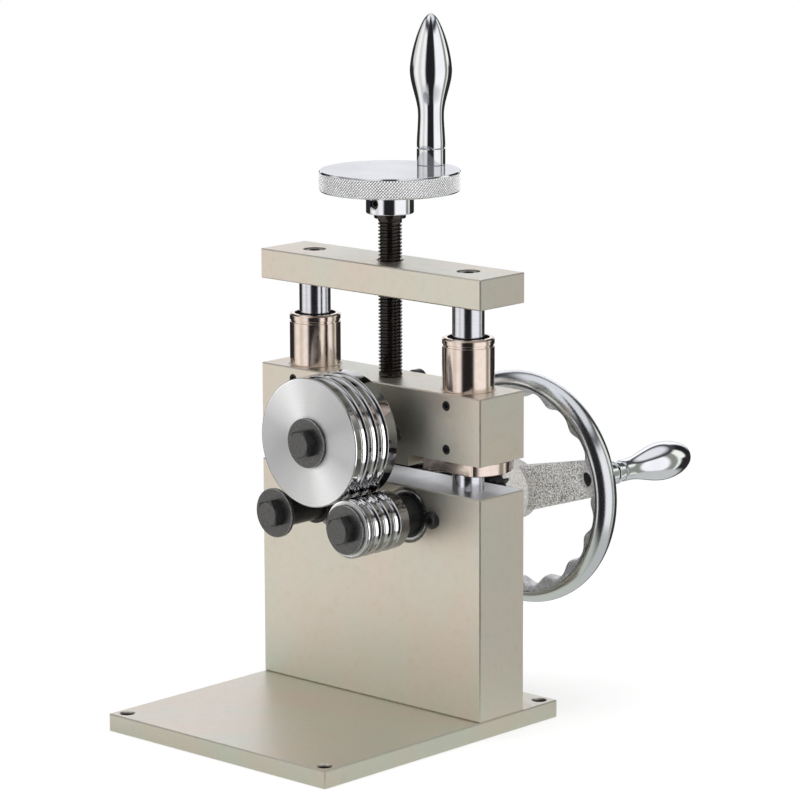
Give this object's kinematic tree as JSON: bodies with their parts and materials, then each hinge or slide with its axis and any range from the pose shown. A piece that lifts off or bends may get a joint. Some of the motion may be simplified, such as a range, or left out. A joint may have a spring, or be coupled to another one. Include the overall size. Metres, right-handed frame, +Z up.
{
  "type": "bangle bending machine",
  "caption": "Hand-cranked bench machine that rolls wire and strip into bangles between a pressure roller on a screwed-down head and geared lower shafts turned by a handwheel.",
  "frame": {"origin": "middle of the base plate's underside", "axes": "+Z up, -Y to the front where the rollers are, +X to the right seen from the front"},
  "size_m": [0.1615, 0.2754, 0.3533],
  "materials": {
    "nickel_plate": "satin nickel plating",
    "black_oxide": "black oxide",
    "chrome": "polished chrome",
    "hard_steel": "ground and polished",
    "bronze": "turned",
    "bearing_seal": "moulded",
    "cast_metal": "rough cast with a polished rim"
  },
  "bodies": {
    "frame": {"base_plate": "nickel_plate", "base_screws": "black_oxide", "lower_block": "nickel_plate", "guide_pillar_left": "chrome", "guide_pillar_right": "chrome", "crossbar": "nickel_plate", "crossbar_screws": "black_oxide", "drive_bearing_front": "bearing_seal", "drive_bearing_rear": "bearing_seal", "driven_bearing_front": "bearing_seal", "driven_bearing_rear": "bearing_seal", "lower_bearing_screws": "black_oxide", "idler_stud": "black_oxide", "idler_clip": "hard_steel"},
    "head": {"upper_block": "nickel_plate", "guide_bush_left": "bronze", "guide_bush_right": "bronze", "bush_grub_screws": "black_oxide", "upper_bearing_front": "bearing_seal", "upper_bearing_rear": "bearing_seal", "upper_bearing_screws": "black_oxide", "screw_keeper": "black_oxide"},
    "screw": {"lead_screw": "black_oxide", "crank_disc": "chrome", "crank_grub_screw": "black_oxide", "crank_handle_spindle": "chrome"},
    "crank_grip": {"crank_handle": "chrome"},
    "upper_spindle": {"upper_shaft": "black_oxide", "upper_roller": "hard_steel", "upper_roller_washer": "black_oxide", "upper_roller_bolt": "black_oxide", "upper_shaft_clip": "hard_steel", "upper_inner_rings": "hard_steel"},
    "drive_spindle": {"drive_shaft": "black_oxide", "drive_roller": "hard_steel", "drive_roller_washer": "black_oxide", "drive_roller_bolt": "black_oxide", "drive_inner_rings": "hard_steel", "drive_spacer": "black_oxide", "drive_gear": "black_oxide", "drive_gear_screw": "black_oxide", "handwheel": "cast_metal", "wheel_key": "hard_steel", "wheel_washer": "black_oxide", "wheel_bolt": "black_oxide", "wheel_handle_spindle": "chrome"},
    "wheel_grip": {"wheel_handle": "chrome"},
    "driven_spindle": {"driven_shaft": "black_oxide", "driven_washer": "black_oxide", "driven_bolt": "black_oxide", "driven_inner_rings": "hard_steel", "driven_spacer": "black_oxide", "driven_gear": "black_oxide", "driven_gear_screw": "black_oxide"},
    "idler": {"idler_gear": "black_oxide", "idler_bush": "bronze"}
  },
  "joints": [
    {"name": "head_slide", "type": "slide", "parent": "frame", "child": "head", "axis": [0, 0, 1], "range_m": [0, 0.016]},
    {"name": "screw_spin", "type": "hinge", "parent": "head", "child": "screw", "pos_m": [0, 0.0425, 0.18], "axis": [0, 0, 1], "range_deg": [0, 3291.42]},
    {"name": "crank_grip_spin", "type": "hinge", "parent": "screw", "child": "crank_grip", "pos_m": [0.00287, 0.06985, 0.3], "axis": [0, 0, 1], "continuous": true},
    {"name": "upper_roller_spin", "type": "hinge", "parent": "head", "child": "upper_spindle", "pos_m": [0, 0, 0.1474], "axis": [0, 1, 0], "continuous": true},
    {"name": "drive_spin", "type": "hinge", "parent": "frame", "child": "drive_spindle", "pos_m": [0.026, 0, 0.1076], "axis": [0, 1, 0], "continuous": true},
    {"name": "wheel_grip_spin", "type": "hinge", "parent": "drive_spindle", "child": "wheel_grip", "pos_m": [0.07221, 0.14, 0.11861], "axis": [0, 1, 0], "continuous": true},
    {"name": "driven_spin", "type": "hinge", "parent": "frame", "child": "driven_spindle", "pos_m": [-0.026, 0, 0.1076], "axis": [0, 1, 0], "continuous": true},
    {"name": "idler_spin", "type": "hinge", "parent": "frame", "child": "idler", "pos_m": [0, 0.075, 0.0827], "axis": [0, 1, 0], "continuous": true}
  ],
  "couplings": [
    {"joint": "screw_spin", "follows": "head_slide", "rad_per_m": 3590.4},
    {"joint": "driven_spin", "follows": "drive_spin", "ratio": 1},
    {"joint": "idler_spin", "follows": "drive_spin", "ratio": -1.6667}
  ]
}
